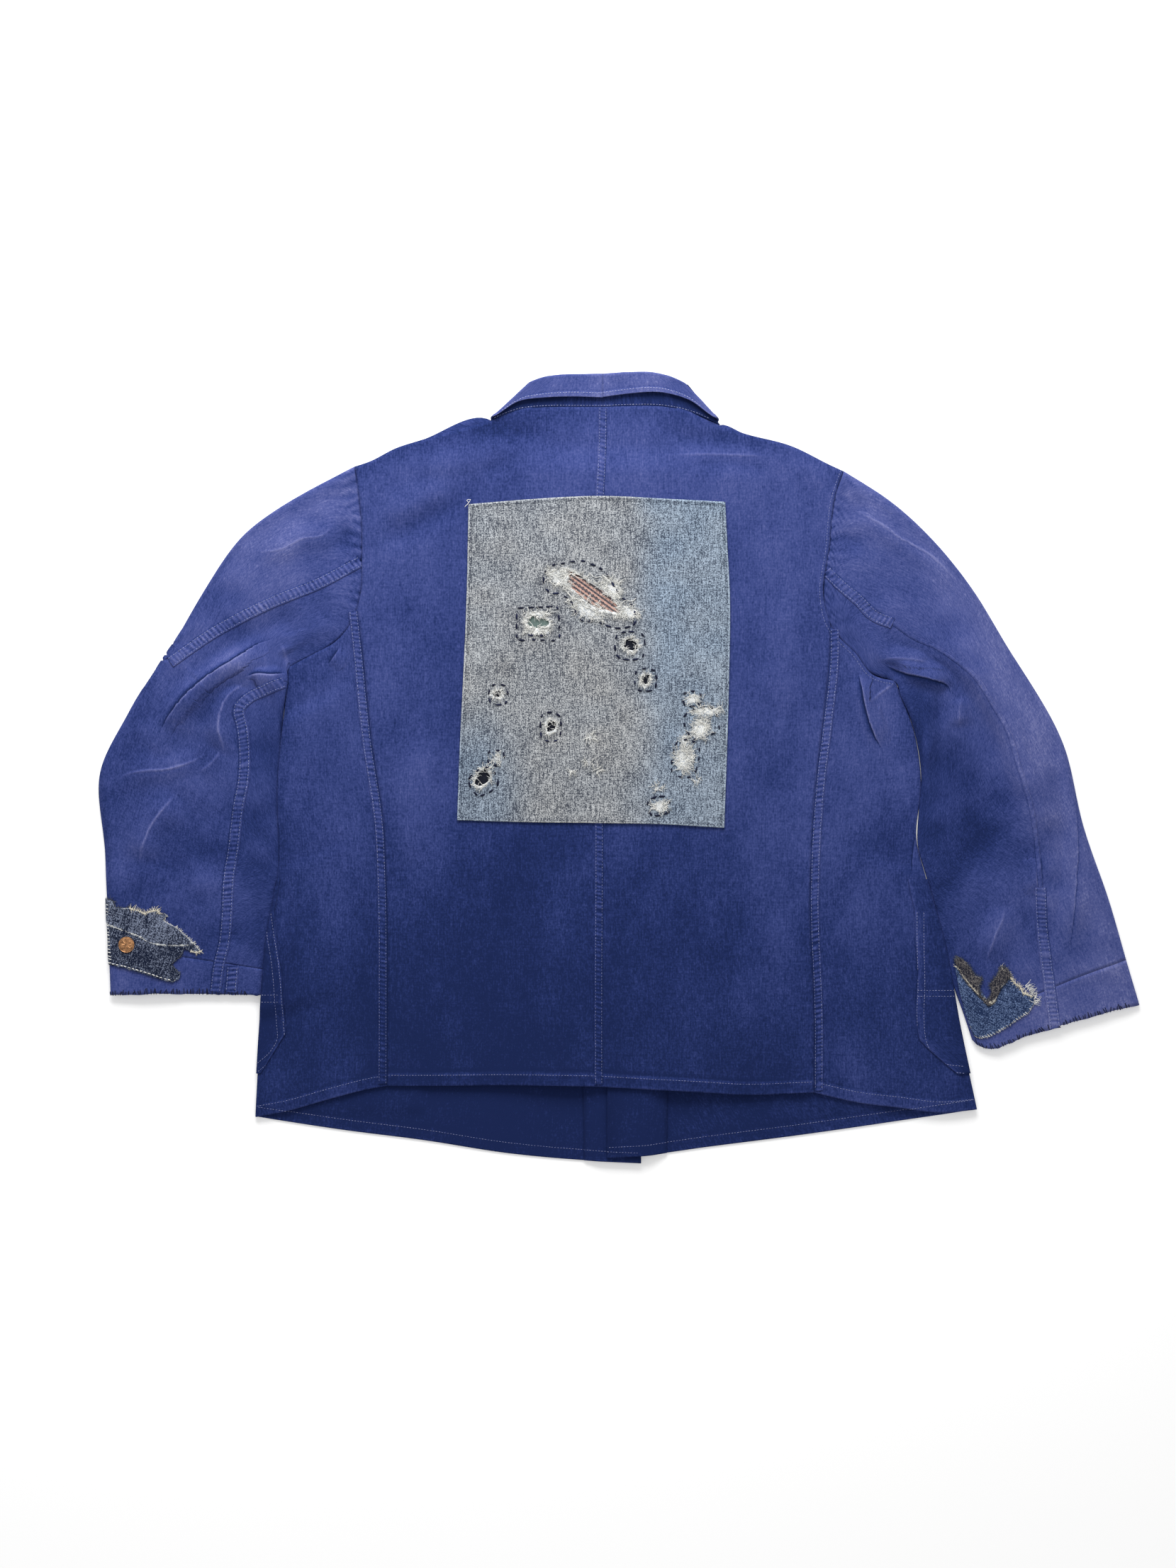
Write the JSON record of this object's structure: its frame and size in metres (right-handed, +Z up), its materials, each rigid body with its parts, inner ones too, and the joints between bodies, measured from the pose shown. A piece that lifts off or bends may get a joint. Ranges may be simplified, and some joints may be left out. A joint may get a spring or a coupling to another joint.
{
  "type": "patched cotton work jacket",
  "caption": "Worn indigo work jacket laid face down, buttoned, with a large denim patch on the back and torn denim scraps sewn round both cuffs.",
  "frame": {"origin": "centre of the bounding box on the surface that the jacket lies on", "axes": "+X towards the wearer's right, +Y towards the collar, +Z up out of the back of the jacket"},
  "size_m": [1.101, 0.8364, 0.0221],
  "materials": {
    "work_cloth": "worn indigo cotton work cloth, matt, faded at the shoulders and edges",
    "patch_denim": "washed grey-blue denim with torn holes and cream frays",
    "striped_cloth": "salmon-red striped cotton behind the largest tear",
    "grey_cloth": "green-grey cotton behind a hole",
    "dark_cloth": "navy-black cotton behind the small holes",
    "dark_denim": "dark indigo torn denim with light weft frays",
    "blue_twill": "blue twill scrap, frayed",
    "brown_denim": "brown-navy torn denim",
    "button_resin": "dark blue four-hole resin buttons",
    "tack_copper": "aged copper rivet button with a plain ring relief"
  },
  "bodies": {
    "root": {"back_left": "work_cloth", "front_left": "work_cloth", "facing_left": "work_cloth", "pocket_left": "work_cloth", "collar_left": "work_cloth", "top_sleeve_left": "work_cloth", "under_sleeve_left": "work_cloth", "cuff_left": "work_cloth", "back_right": "work_cloth", "front_right": "work_cloth", "facing_right": "work_cloth", "pocket_right": "work_cloth", "collar_right": "work_cloth", "top_sleeve_right": "work_cloth", "under_sleeve_right": "work_cloth", "cuff_right": "work_cloth", "back_patch": "patch_denim", "scrap_striped": "striped_cloth", "scrap_grey": "grey_cloth", "scrap_dark_1": "dark_cloth", "scrap_dark_2": "dark_cloth", "scrap_dark_3": "dark_cloth", "scrap_dark_4": "dark_cloth", "scrap_dark_5": "dark_cloth", "cuff_patch_left": "dark_denim", "cuff_patch_right": "blue_twill", "cuff_patch_right_top": "brown_denim", "button_1": "button_resin", "button_2": "button_resin", "button_3": "button_resin", "button_4": "button_resin", "button_5": "button_resin", "tack_button": "tack_copper"}
  },
  "joints": []
}
